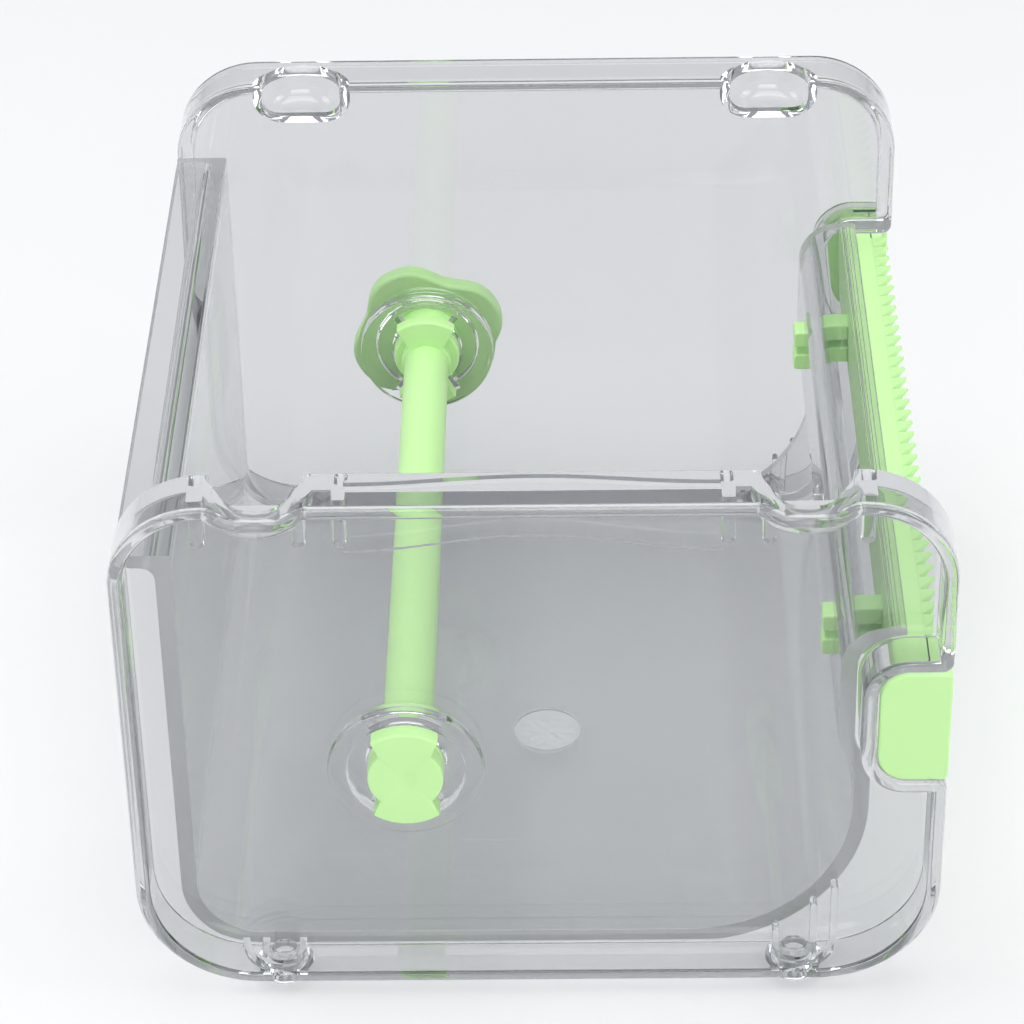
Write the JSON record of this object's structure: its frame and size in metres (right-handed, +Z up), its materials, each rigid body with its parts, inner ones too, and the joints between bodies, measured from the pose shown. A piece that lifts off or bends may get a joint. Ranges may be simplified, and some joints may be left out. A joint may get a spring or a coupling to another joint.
{
  "type": "tape dispenser",
  "caption": "Clear stackable box dispenser for rolls of decorative tape, with a bayonet axle, a turning knob and a saw-toothed cutting edge.",
  "frame": {"origin": "on the desk surface under the middle of the box", "axes": "+X forward towards the cutting edge, +Y along the axle towards its knob, +Z up"},
  "size_m": [0.1, 0.11, 0.0747],
  "materials": {
    "clear_plastic": "clear, polished mould finish",
    "green_plastic": "satin, pale apple green",
    "clear_foot": "clear soft bumper"
  },
  "bodies": {
    "box": {"trough": "clear_plastic", "knob_end_panel": "clear_plastic", "lug_end_panel": "clear_plastic", "cutter": "green_plastic", "foot_front_knob": "clear_foot", "foot_back_knob": "clear_foot", "foot_front_lug": "clear_foot", "foot_back_lug": "clear_foot"},
    "axle": {"axle_rod": "green_plastic", "axle_knob": "green_plastic"}
  },
  "joints": [
    {"name": "axle_turn", "type": "hinge", "parent": "box", "child": "axle", "pos_m": [-0.016, 0, 0.0323], "axis": [0, 1, 0], "continuous": true}
  ]
}
